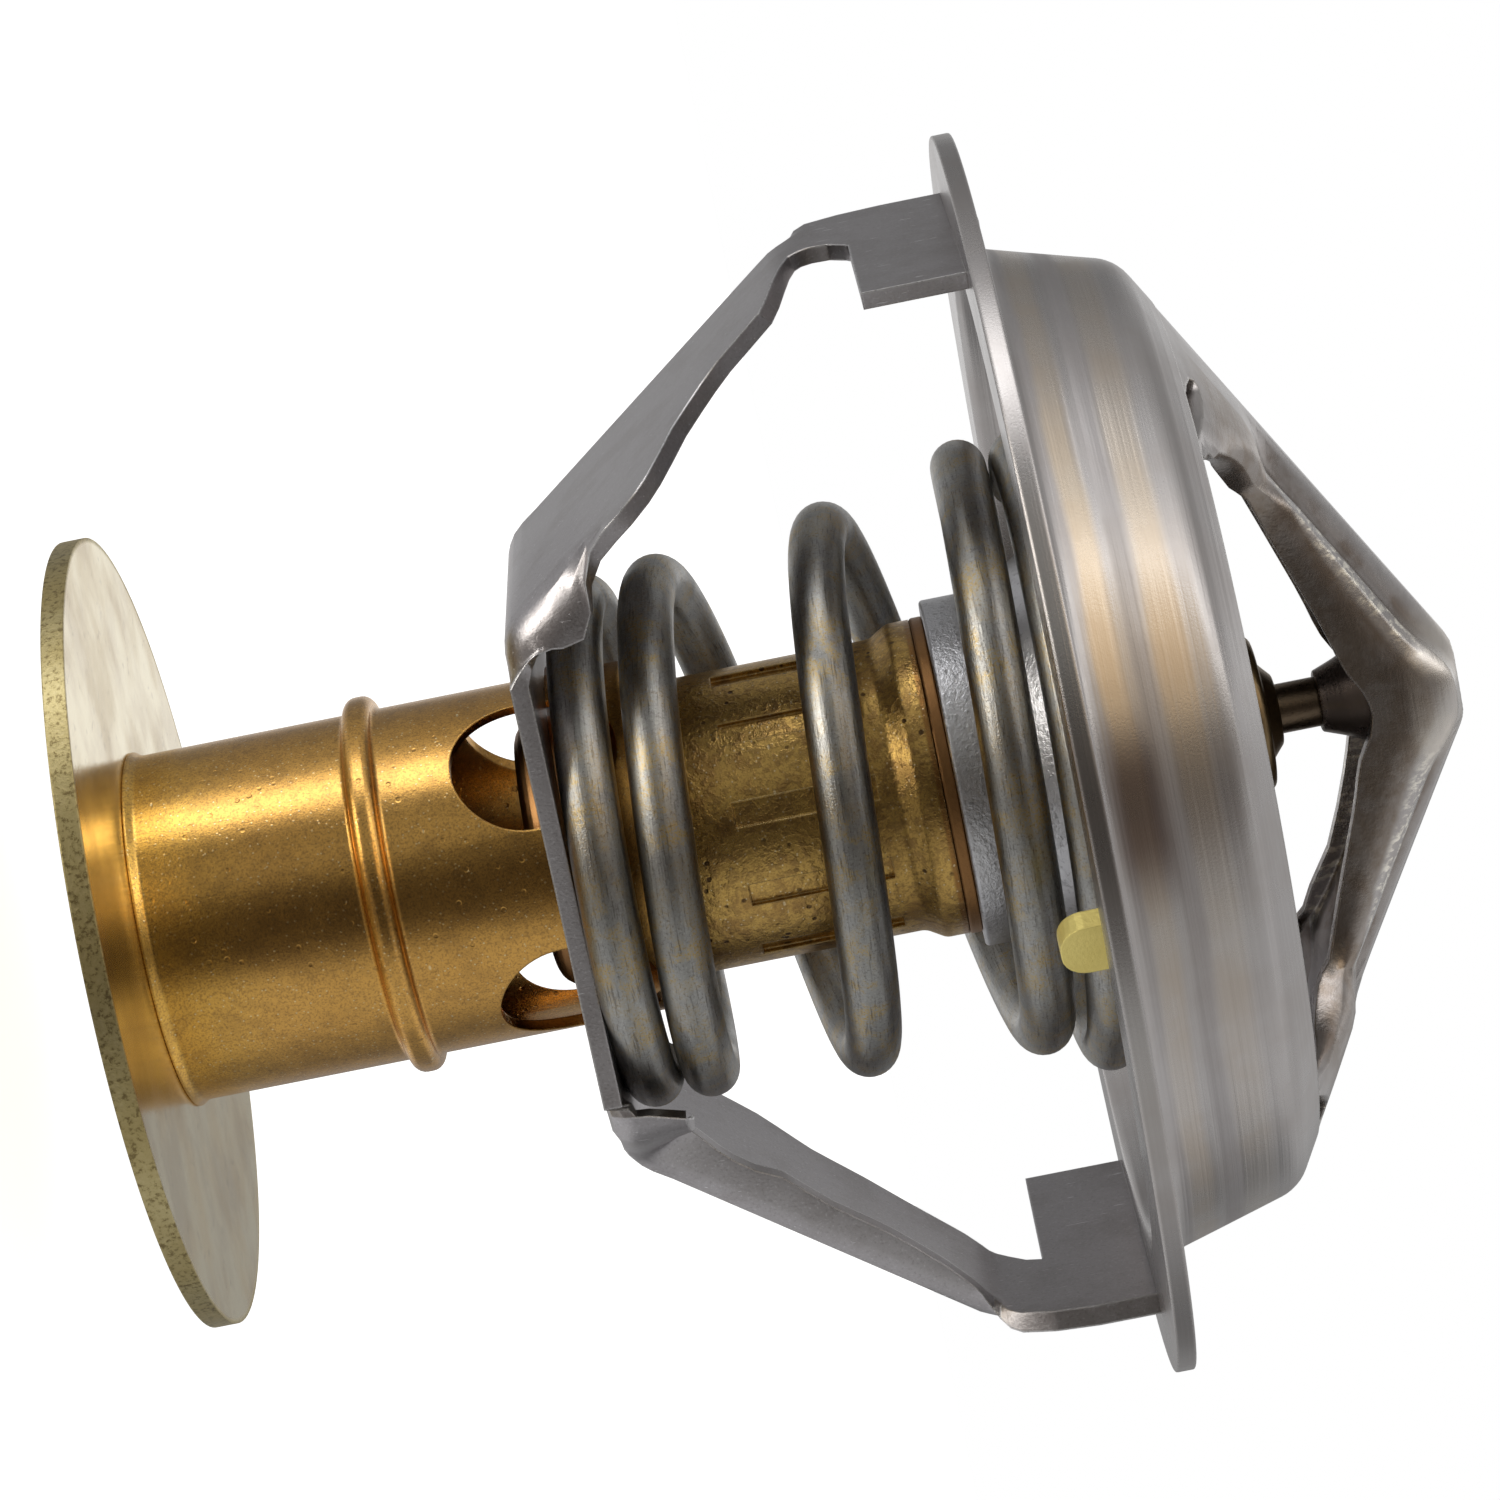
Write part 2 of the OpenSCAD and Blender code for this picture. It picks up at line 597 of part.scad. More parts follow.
boot_in_r = piston_r + piston_gap;
boot_z = element_z + 3;
module wax_charge() {
    r = cup_out_r - cup_wall - fit;
    bottom = element_z + cup_wall + fit;
    top = hub_z - boot_flange_t - fit;
    color("khaki") turned([
        [0, bottom], [r - 0.6, bottom], [r, bottom + 0.6], [r, top], [boot_r + fit, top],
        [boot_r + fit, boot_z - fit], [0, boot_z - fit]
    ]);
}

module rubber_boot() {
    flange = cup_out_r - cup_wall - fit;
    color("dimgray") turned([
        [0, boot_z], [boot_r - 0.8, boot_z], [boot_r, boot_z + 0.8],
        [boot_r, hub_z - boot_flange_t], [flange, hub_z - boot_flange_t], [flange, hub_z],
        [boot_in_r, hub_z], [boot_in_r, boot_z + 1.2], [0, boot_z + 1.2]
    ]);
}

washer_t = 1;
module seal_washer() {
    color("ivory") difference() {
        translate([0, 0, hub_z]) cylinder(r = boot_r, h = washer_t);
        translate([0, 0, hub_z - 1]) cylinder(r = boot_in_r, h = washer_t + 2);
    }
}

module element_guide() {
    flange = hub_r - valve_t - fit;
    body_r = guide_d / 2 + 0.8;
    color("darkgoldenrod") difference() {
        turned(rounded([
            [0, hub_z, 0],
            [flange, hub_z, 0],
            [flange, hub_z + 1.8, 0.3],
            [body_r, hub_z + 2.4, 0.6],
            [body_r, guide_top - 4.8, 0.6],
            [guide_d / 2, guide_top - 4.2, 0.4],
            [guide_d / 2, guide_top, 0.5],
            [piston_r + 1.3, guide_top + 0.1, 0.3],
            [piston_r + 0.5, guide_top + 0.8, 0.3],
            [0, guide_top + 0.8, 0]
        ]));
        translate([0, 0, hub_z - 1]) cylinder(r = boot_in_r, h = guide_top);
        translate([0, 0, hub_z - 1]) cylinder(r = boot_r + fit, h = washer_t + fit + 1);
    }
}

// Spring: height and radius of the wire's centre after a number of turns. Its free coils lean a
// little, and its upper coils stand a little to one side
spring_bottom = seat_top + wire_d / 2;
spring_top = valve_z - wire_d / 2;
coil_gap = wire_d + 0.08;
spring_rise = [
    [0, spring_bottom],
    [0.3, spring_bottom],
    [0.95, spring_bottom + coil_gap],
    [1.25, spring_bottom + coil_gap + 0.04],
    [spring_turns - 1.5, spring_top - coil_gap - 1.6],
    [spring_turns - 1.25, spring_top - coil_gap - 0.27],
    [spring_turns - 0.95, spring_top - coil_gap],
    [spring_turns - 0.3, spring_top],
    [spring_turns, spring_top]
];
spring_tilt = [[1.2, 0], [1.5, 0.7], [2, 0.8], [3.05, 0.8], [3.4, 0]];
spring_shift = [[2.6, 0], [3.05, 0.6], [3.6, 0.6], [4.1, 0]];
lean_angle = -18.6;

// Reading of a table with its corners rounded off
function averaged(u, table) =
    let (reads = [for (k = [-4 : 4]) lookup(u + 0.03 * k, table)]) reads * [for (r = reads) 1 / 9];

spring_low_r = (spring_d_low - wire_d) / 2;
spring_high_r = (spring_d_high - wire_d) / 2;
function spring_r(u) =
    spring_low_r + (spring_high_r - spring_low_r) * pow(blend(u, 0.6, spring_turns - 0.2), 1.35);

// Left-hand coil: the angle falls as the wire climbs
spring_start = -3;
function spring_point(u) =
    let (
        a = spring_start - 360 * u,
        shift = averaged(u, spring_shift),
        z = averaged(u, spring_rise) + averaged(u, spring_tilt) * cos(a - lean_angle)
    )
    [spring_r(u) * cos(a) - shift * cos(lean_angle), spring_r(u) * sin(a) - shift * sin(lean_angle), z];

module main_spring() {
    sides = 12;
    rings = round(30 * spring_turns);
    step = spring_turns / rings;
    points = [for (i = [0 : rings])
        let (
            u = i * step,
            p = spring_point(u),
            along = unit(spring_point(min(spring_turns, u + step / 2))
                - spring_point(max(0, u - step / 2))),
            out = unit([p.x, p.y, 0]),
            side = unit(cross(along, out))
        )
        for (k = [0 : sides - 1])
            p + wire_d / 2 * (cos(k * 360 / sides) * out + sin(k * 360 / sides) * side)];
    walls = [for (i = [0 : rings - 1], k = [0 : sides - 1])
        let (a = i * sides + k, b = i * sides + (k + 1) % sides)
        each [[a, a + sides, b], [b, a + sides, b + sides]]];
    start = [for (k = [0 : sides - 1]) k];
    finish = [for (k = [sides - 1 : -1 : 0]) rings * sides + k];
    color("dimgray") polyhedron(points = points, faces = concat(walls, [start, finish]));
}

// Jiggle pin: head above the valve, stem through its hole, and a flattened tail below
tail_w = 3.05;
tail_t = 1.2;
tail_l = 3;
head_r = vent_d / 2 + 0.6;
module jiggle_pin() {
    plate_top = valve_z + valve_t;
    stem_r = vent_d / 2 - 0.35;
    tail_top = valve_z - vent_travel - 0.15;
    color("gold") rotate([0, 0, vent_angle]) translate([vent_r, 0, 0]) {
        translate([0, 0, plate_top]) turned(rounded([
            [0, 0, 0], [head_r, 0, 0.1], [head_r, 0.8, 0.6], [0, 1.4, 0]]));
        translate([0, 0, tail_top - 0.6]) cylinder(r = stem_r, h = plate_top - tail_top + 0.6);
        rotate([0, 0, 16]) translate([-tail_t / 2, 0, 0]) rotate([90, 0, 90])
            linear_extrude(height = tail_t) polygon(rounded([
                [-tail_w / 2, tail_top - tail_l, 1.3], [tail_w / 2, tail_top - tail_l, 1.3],
                [tail_w / 2, tail_top, 0.2], [-tail_w / 2, tail_top, 0.2]]));
    }
}

housing();
lower_frame();
piston();
main_valve();
bypass_sleeve();
bypass_disc();
element_cup();
wax_charge();
rubber_boot();
seal_washer();
element_guide();
main_spring();
jiggle_pin();
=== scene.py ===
import math

import bpy
from mathutils import Matrix, Vector


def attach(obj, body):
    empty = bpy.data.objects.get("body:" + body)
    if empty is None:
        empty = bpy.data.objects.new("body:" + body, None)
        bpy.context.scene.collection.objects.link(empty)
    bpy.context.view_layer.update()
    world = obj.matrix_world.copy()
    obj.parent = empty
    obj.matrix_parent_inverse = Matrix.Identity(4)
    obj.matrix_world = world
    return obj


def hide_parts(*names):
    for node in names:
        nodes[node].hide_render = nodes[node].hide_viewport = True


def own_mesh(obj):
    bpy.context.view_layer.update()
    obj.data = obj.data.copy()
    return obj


# The frame is in metres; this script's own lengths are in millimetres
MM = 0.001

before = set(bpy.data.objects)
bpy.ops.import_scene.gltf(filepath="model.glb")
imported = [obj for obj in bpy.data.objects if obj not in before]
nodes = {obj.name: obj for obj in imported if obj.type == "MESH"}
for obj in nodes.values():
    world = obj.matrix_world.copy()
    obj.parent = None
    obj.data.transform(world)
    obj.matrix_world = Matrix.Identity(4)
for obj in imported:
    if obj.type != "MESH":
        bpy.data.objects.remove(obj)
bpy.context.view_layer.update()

# How far the valve opens, as its joint says
TRAVEL = 8.5


# Camera, from the photograph's fitted view

VIEW_AZIMUTH = -18.3
VIEW_ELEVATION = 1.67
VIEW_ROLL = 78.775
VIEW_PLACE = (-82.46, -239.0, 40.3)
VIEW_LENS = 116.55
SENSOR_WIDTH = 36


def make_camera():
    camera = bpy.data.objects.new("camera", bpy.data.cameras.new("camera"))
    bpy.context.scene.collection.objects.link(camera)
    camera.data.sensor_width = SENSOR_WIDTH
    camera.data.lens = VIEW_LENS
    camera.data.clip_start = 0.01
    camera.data.clip_end = 20
    turn = Matrix.Rotation(math.radians(VIEW_AZIMUTH), 4, "Z")
    tilt = Matrix.Rotation(math.radians(90 - VIEW_ELEVATION), 4, "X")
    roll = Matrix.Rotation(math.radians(VIEW_ROLL), 4, "Z")
    place = Matrix.Translation(Vector(VIEW_PLACE) * MM)
    camera.matrix_world = place @ turn @ tilt @ roll
    bpy.context.scene.camera = camera


# Shader maths written as expressions

class Value:
    """What a node gives out; arithmetic on it adds Math nodes."""

    def __init__(self, maker, socket):
        self.maker = maker
        self.socket = socket

    def __add__(self, other):
        return self.maker.maths("ADD", self, other)

    __radd__ = __add__

    def __mul__(self, other):
        return self.maker.maths("MULTIPLY", self, other)

    __rmul__ = __mul__

    def __sub__(self, other):
        return self.maker.maths("SUBTRACT", self, other)

    def __rsub__(self, other):
        return self.maker.maths("SUBTRACT", other, self)

    def __truediv__(self, other):
        return self.maker.maths("DIVIDE", self, other)

    def __rtruediv__(self, other):
        return self.maker.maths("DIVIDE", other, self)


class Nodes:
    """A tree of nodes, built by calls."""

    def __init__(self, tree):
        self.tree = tree

    def node(self, kind, settings=None, sockets=None, out=0):
        """One node, from its kind, settings, and the values or links of its sockets."""
        made = self.tree.nodes.new(kind)
        for name, value in (settings or {}).items():
            if name == "stops":
                stops = made.color_ramp.elements
                ends = {0: stops[0], len(value) - 1: stops[1]}
                for k, (at, colour) in enumerate(value):
                    stop = ends.get(k) or stops.new(at)
                    stop.color = (*colour, 1)
            else:
                setattr(made, name, value)
        for name, value in (sockets or {}).items():
            if isinstance(value, Value):
                self.tree.links.new(value.socket, made.inputs[name])
            else:
                made.inputs[name].default_value = value
        return None if out is None else Value(self, made.outputs[out])

    def maths(self, operation, *values):
        return self.node("ShaderNodeMath", {"operation": operation}, dict(enumerate(values)))

    def vector(self, operation, *values, out=0):
        return self.node("ShaderNodeVectorMath", {"operation": operation},
                         dict(enumerate(values)), out)

    def step(self, value, low, high, start=0.0, end=1.0):
        """Smooth step of value, from start at low to end at high."""
        return self.node("ShaderNodeMapRange", {"interpolation_type": "SMOOTHSTEP"},
                         {"Value": value, "From Min": low, "From Max": high,
                          "To Min": start, "To Max": end})

    def fade(self, value, low, high):
        """1 up to low, falling to 0 at high."""
        return self.step(value, low, high, 1.0, 0.0)

    def band(self, value, middle, half, soft):
        """1 within half of middle, falling to 0 over soft."""
        return self.fade(self.maths("ABSOLUTE", value - middle), half, half + soft)

    def mix(self, first, second, share):
        """Two colours mixed; share is how much there is of the second."""
        first, second = [c if isinstance(c, Value) else (*c, 1) for c in (first, second)]
        return self.node("ShaderNodeMix", {"data_type": "RGBA"}, {0: share, 6: first, 7: second}, 2)


class Finish(Nodes):
    """A procedural metal, rubber or wax."""

    # How far each further pattern is moved on, so that no two agree
    NOISE_SHIFT = (7.3, 3.1, 5.7)
    CELL_SHIFT = (5.1, 2.9, 8.3)

    def __init__(self, name, metallic=0.0):
        self.material = bpy.data.materials.new(name)
        self.material.use_nodes = True
        super().__init__(self.material.node_tree)
        self.shader = self.tree.nodes["Principled BSDF"]
        self.shader.inputs["Metallic"].default_value = metallic
        here = self.node("ShaderNodeTexCoord", out="Object")
        self.point = self.node("ShaderNodeVectorMath", {"operation": "SCALE"},
                               {"Vector": here, "Scale": 1 / MM})
        self.patterns = 0

    def parts(self):
        """The point's x, y and z."""
        made = self.node("ShaderNodeSeparateXYZ", None, {0: self.point})
        outs = made.socket.node.outputs
        return [Value(self, outs[k]) for k in range(3)]

    def radius(self, x, y):
        """Distance from the valve axis."""
        return self.maths("SQRT", x * x + y * y)

    def place(self, size, stretch, at, shift):
        """The surface's point, or at, counted in features of size, drawn out by stretch."""
        self.patterns += 1
        return self.vector("MULTIPLY_ADD", at or self.point, tuple(1 / (size * s) for s in stretch),
                           tuple(self.patterns * s for s in shift))

    def noise(self, size, detail, rough, stretch=(1, 1, 1), at=None):
        """Soft noise from 0 to 1 with features of about size."""
        place = self.place(size, stretch, at, self.NOISE_SHIFT)
        return self.node("ShaderNodeTexNoise", None,
                         {"Vector": place, "Scale": 1.0, "Detail": detail, "Roughness": rough})

    def cells(self, size, stretch=(1, 1, 1)):
        """Distance to the nearest of many scattered points, in units of size."""
        place = self.place(size, stretch, None, self.CELL_SHIFT)
        return self.node("ShaderNodeTexVoronoi", None, {"Vector": place, "Scale": 1.0})

    def rounded(self, width):
        """Normal with the part's edges rounded off."""
        return self.node("ShaderNodeBevel", {"samples": 4}, {"Radius": width * MM})

    def edges(self, width):
        """1 along the part's edges over about width."""
        flat = self.node("ShaderNodeNewGeometry", out="Normal")
        same = self.vector("DOT_PRODUCT", self.rounded(width), flat, out="Value")
        return self.step(1 - same, 0.02, 0.25)

    def marks(self, height, table):
        """Soft bands round the part, from a table of middle, half width, fade and strength."""
        return sum(strength * self.band(height, middle, half, soft)
                   for middle, half, soft, strength in table)

    def bump(self, height, depth, strength, normal=None):
        sockets = {"Height": height, "Distance": depth * MM, "Strength": strength}
        if normal:
            sockets["Normal"] = normal
        return self.node("ShaderNodeBump", None, sockets)

    def wear(self, colour, rough, normal):
        """Links what changes over the surface, and gives the finished material."""
        for name, value in (("Base Color", colour), ("Roughness", rough), ("Normal", normal)):
            self.tree.links.new(value.socket, self.shader.inputs[name])
        return self.material


# Directions square to the valve axis: upwards in the photograph, and towards the camera
ROOM_UP = (-math.cos(math.radians(VIEW_AZIMUTH)), -math.sin(math.radians(VIEW_AZIMUTH)), 0)
ROOM_FRONT = (math.sin(math.radians(VIEW_AZIMUTH)), -math.cos(math.radians(VIEW_AZIMUTH)), 0)


# Finishes; colours are linear red, green and blue, heights are from the disc's face up

# Housing: drawn sheet steel, with drawing marks and heat tints round the cup, painted shade on the
# cup's sides and a painted warm highlight on its upper side

HOUSING_GREY = (0.36, 0.335, 0.33)
HOUSING_LIGHT = (0.62, 0.60, 0.59)
HOUSING_STRAW = (0.66, 0.53, 0.37)
HOUSING_DULL = (0.36, 0.335, 0.34)
HOUSING_BROWN = (0.32, 0.26, 0.225)
HOUSING_PAINTED_SHADE = (0.17, 0.11, 0.085)
HOUSING_EDGE = (0.84, 0.81, 0.76)
CUP_BOTTOM = 49.3
CUP_TOP = 57.2
# The cup's wall rolled out: its whole way round counts as this long
CUP_ROLLED_OUT = 20
# Marks round the cup: height, half width, fade and strength
DULL_MARKS = [(52.5, 0.2, 0.5, 1.0), (50.0, 0.1, 0.3, 0.6)]
STRAW_MARKS = [(50.9, 0.3, 0.6, 1.0), (53.9, 0.4, 0.8, 0.8)]
PAINTED_SHADE_MARKS = [(51.0, 0.5, 1.4, 1.0)]
# Where the painted shade is round the cup, from -1 at the bottom of the photograph to 1 at its top
PAINTED_SHADE_PLACE = -0.12


def housing_finish():
    f = Finish("housing steel", 1.0)
    x, y, z = f.parts()
    radius = f.radius(x, y)
    angle = f.maths("ARCTAN2", y, x) / math.tau + 0.5
    turning = f.node("ShaderNodeCombineXYZ", None, {0: radius, 1: angle * CUP_ROLLED_OUT, 2: z})
    high = (x * ROOM_UP[0] + y * ROOM_UP[1]) / radius
    cup = f.step(z, CUP_BOTTOM, CUP_BOTTOM + 0.3) * f.fade(z, CUP_TOP, CUP_TOP + 1.0)
    drift = f.noise(8, 3, 0.5)
    lines = f.noise(0.22, 3, 0.6, (1, 30, 1), turning)
    broad = f.noise(0.7, 2, 0.5, (1, 16, 1), turning)
    cloud = f.step(f.noise(4.5, 4, 0.55), 0.36, 0.72)
    grain = f.noise(0.12, 2, 0.6)
    wander = z + drift * 0.8 - 0.4
    dull = f.marks(wander, DULL_MARKS) * cup
    straw = f.marks(wander, STRAW_MARKS) * cup
    # Painted shade: a dark brown band on the cup's sides, where the dark of the room is mirrored
    cup_painted_shade = f.marks(wander, PAINTED_SHADE_MARKS) * f.band(high, PAINTED_SHADE_PLACE, 0.05, 0.16) * cup
    # Painted highlight: the real straw heat tint is made stronger on the cup's upper side, where the
    # warm highlight falls
    warm_highlight_side = f.step(high, -0.35, 0.05) * f.step(high, 0.45, 0.75, 1.0, 0.3)
    base = f.mix(HOUSING_GREY, HOUSING_LIGHT, lines * 0.4 + broad * 0.3 + drift * 0.3)
    base = f.mix(base, HOUSING_STRAW, straw * (0.15 + 0.45 * warm_highlight_side + 0.2 * cloud))
    base = f.mix(base, HOUSING_DULL, dull * 0.4)
    base = f.mix(base, HOUSING_BROWN, cloud * 0.22)
    base = f.mix(base, HOUSING_PAINTED_SHADE, cup_painted_shade * 0.7)
    base = bridge_shade_and_highlights(f, base, x, y, z, cloud)
    edge = f.edges(0.22)
    base = f.mix(base, HOUSING_EDGE, edge * 0.6)
    rough = 0.22 + 0.05 * drift + 0.04 * grain + 0.12 * dull + 0.04 * cloud - 0.05 * edge
    height = broad * cup * 3.0 + lines * 1.0 + grain * 0.35
    return f.wear(base, rough, f.bump(height, 0.035, 0.4, f.rounded(0.2)))


# Bridge: painted shade in the grooves and folds, painted highlights along the ridges, bright nose and
# dark collar

GROOVE_PAINTED_SHADE = (0.17, 0.12, 0.085)
FOLD_PAINTED_SHADE = (0.24, 0.18, 0.13)
RIDGE_PAINTED_HIGHLIGHT = (1.0, 0.95, 0.84)
NOSE_BRIGHT = (0.80, 0.74, 0.66)
COLLAR_DARK = (0.11, 0.075, 0.05)
BRIDGE_TURN = math.radians(-6)
BRIDGE_BOTTOM = 58.0
NOSE_BOTTOM = 66.0
# Distances from the bridge's middle line
GROOVE_OFF = 3.0
RIDGE_OFF = 4.5
FOLD_OFF = 4.9
# Distances from the valve axis
COLLAR_R = 3.0
NOSE_R = 1.5
ROOT_R = 12.5


# Paints shade into the bridge's grooves and folds, highlights along its ridges, a bright nose and a
# dark collar
def bridge_shade_and_highlights(f, base, x, y, z, cloud):
    along = f.maths("ABSOLUTE", x * math.cos(BRIDGE_TURN) + y * math.sin(BRIDGE_TURN))
    across = f.maths("ABSOLUTE", y * math.cos(BRIDGE_TURN) - x * math.sin(BRIDGE_TURN))
    bridge = f.step(z, BRIDGE_BOTTOM, BRIDGE_BOTTOM + 1.5)
    arms = bridge * f.step(along, NOSE_R, NOSE_R + 2.5) * f.fade(along, ROOT_R, ROOT_R + 3.5)
    patchy = 0.55 + 0.45 * f.step(f.noise(1.6, 4, 0.6), 0.38, 0.62)
    ridge_breakup = f.step(f.noise(0.35, 3, 0.6, (1, 1, 3)), 0.46, 0.66)
    # Where shade is painted: the grooves and the folds
    groove = f.band(across, GROOVE_OFF, 0.7, 0.8) * arms * patchy
    fold = f.step(across, FOLD_OFF, FOLD_OFF + 0.2) * bridge * patchy
    # Painted highlight along the ridges, broken up by noise
    ridge = f.band(across, RIDGE_OFF, 0.25, 0.3) * arms * ridge_breakup
    nose = bridge * f.fade(along, NOSE_R, NOSE_R + 3.5) * f.step(z, NOSE_BOTTOM, NOSE_BOTTOM + 1.0)
    under = f.fade(z, NOSE_BOTTOM + 0.2, NOSE_BOTTOM + 1.4) * bridge
    collar = f.fade(f.radius(x, y), COLLAR_R, COLLAR_R + 0.4) * under
    # Painted shade in the grooves and on the folds, in brown
    base = f.mix(base, GROOVE_PAINTED_SHADE, groove * 0.8)
    base = f.mix(base, FOLD_PAINTED_SHADE, fold * 0.75)
    # Painted highlight along the ridges
    base = f.mix(base, RIDGE_PAINTED_HIGHLIGHT, ridge * 0.95)
    base = f.mix(base, NOSE_BRIGHT, nose * (0.3 + 0.5 * cloud))
    return f.mix(base, COLLAR_DARK, collar * 0.85)


# Lower frame: stamped sheet steel with bright sheared edges

FRAME_GREY = (0.38, 0.36, 0.365)
FRAME_LIGHT = (0.52, 0.50, 0.515)
FRAME_STAIN = (0.27, 0.24, 0.23)
FRAME_PIT = (0.24, 0.22, 0.22)
FRAME_GLINT = (0.76, 0.75, 0.78)
FRAME_SCRATCH = (0.90, 0.90, 0.92)
FRAME_EDGE = (1.0, 1.0, 1.0)


def frame_finish():
    f = Finish("frame steel", 1.0)
    drift = f.noise(7, 3, 0.5)
    speck = f.noise(0.16, 3, 0.7)
    streak = f.noise(0.5, 3, 0.6, (6, 1, 6))
    stain = f.step(f.noise(3.2, 4, 0.6), 0.46, 0.66)
    scratch = f.step(f.noise(0.16, 2, 0.5, (1, 1, 9)), 0.70, 0.76)
    edge = f.edges(0.2)
    base = f.mix(FRAME_GREY, FRAME_LIGHT, drift * 0.6 + streak * 0.4)
    base = f.mix(base, FRAME_STAIN, stain * 0.28)
    base = f.mix(base, FRAME_PIT, f.fade(speck, 0.32, 0.46) * 0.4)
    base = f.mix(base, FRAME_GLINT, f.step(speck, 0.56, 0.72) * 0.4)
    base = f.mix(base, FRAME_SCRATCH, scratch * 0.7)
    base = f.mix(base, FRAME_EDGE, edge * (0.5 + 0.5 * speck))
    rough = 0.25 + 0.12 * speck + 0.07 * drift - 0.06 * edge
    height = speck * 0.9 + streak * 0.5 - scratch * 0.8
    return f.wear(base, rough, f.bump(height, 0.025, 0.6, f.rounded(0.15)))


# Main valve: grainy bright steel

VALVE_GREY = (0.58, 0.58, 0.605)
VALVE_LIGHT = (0.84, 0.84, 0.865)
VALVE_GRAIN = (0.26, 0.26, 0.27)


def valve_finish():
    f = Finish("valve steel", 1.0)
    grain = f.noise(0.28, 3, 0.6)
    fine = f.noise(0.10, 2, 0.6)
    drift = f.noise(4, 3, 0.5)
    base = f.mix(VALVE_GREY, VALVE_LIGHT, drift)
    base = f.mix(base, VALVE_GRAIN, f.step(grain, 0.54, 0.72) * 0.5)
    rough = 0.30 + 0.14 * grain
    return f.wear(base, rough, f.bump(grain + fine * 0.3, 0.05, 0.8, f.rounded(0.15)))


# Main spring: dark drawn wire with streaks along it and golden brown specks

WIRE_DARK = (0.24, 0.235, 0.225)
WIRE_GREY = (0.46, 0.46, 0.445)
WIRE_GOLD = (0.54, 0.41, 0.20)
WIRE_STREAK = (0.10, 0.09, 0.08)
WIRE_GRIT = (0.12, 0.10, 0.09)
WIRE_GLINT = (0.66, 0.65, 0.61)


def spring_finish():
    f = Finish("spring steel", 1.0)
    along = f.node("ShaderNodeAttribute", {"attribute_name": "wire"}, out="Vector")
    streak = f.noise(0.10, 3, 0.6, (1, 14, 1), along)
    broad = f.noise(0.5, 3, 0.6, (1, 12, 1), along)
    grit = f.noise(0.13, 3, 0.7)
    blotch = f.noise(1.4, 4, 0.65)
    rusty = f.step(f.noise(3.4, 3, 0.55), 0.44, 0.60)
    warm = f.step(blotch, 0.42, 0.58) * (0.35 + 0.65 * rusty)
    base = f.mix(WIRE_DARK, WIRE_GREY, broad)
    base = f.mix(base, WIRE_GOLD, warm * f.step(grit, 0.40, 0.56) * 0.9)
    base = f.mix(base, WIRE_STREAK, f.step(streak, 0.54, 0.70) * 0.6)
    base = f.mix(base, WIRE_GRIT, f.step(grit, 0.54, 0.68) * 0.5)
    base = f.mix(base, WIRE_GLINT, f.fade(grit, 0.32, 0.46) * 0.25)
    rough = 0.28 + 0.12 * grit + 0.08 * rusty
    height = streak * 0.7 + grit * 0.9 + broad * 0.5
    return f.wear(base, rough, f.bump(height, 0.03, 0.6))


# Bypass sleeve: copper-gold tube with a mottled, pitted neck, a painted warm reflection of the disc at
# its foot and painted highlights on the neck's edges

SLEEVE_COPPER = (0.72, 0.39, 0.10)
SLEEVE_GOLD = (0.90, 0.52, 0.14)
FOOT_PAINTED_REFLECTION = (0.92, 0.56, 0.10)
NECK_BRASS = (0.68, 0.44, 0.13)
FLARE_BROWN = (0.30, 0.13, 0.04)
SLEEVE_CLOUD = (0.36, 0.20, 0.07)
SLEEVE_SPECK = (0.30, 0.16, 0.06)
NECK_MOTTLE = (0.34, 0.21, 0.08)
PIT_DARK = (0.10, 0.06, 0.03)
SPARK_GOLD = (1.0, 0.86, 0.55)
NECK_EDGE_PAINTED_HIGHLIGHT = (0.95, 0.76, 0.38)
FOOT_BOTTOM = 2.0
NECK_BOTTOM = 27.4
NECK_TOP = 40.2
FLARE_MIDDLE = 42.2


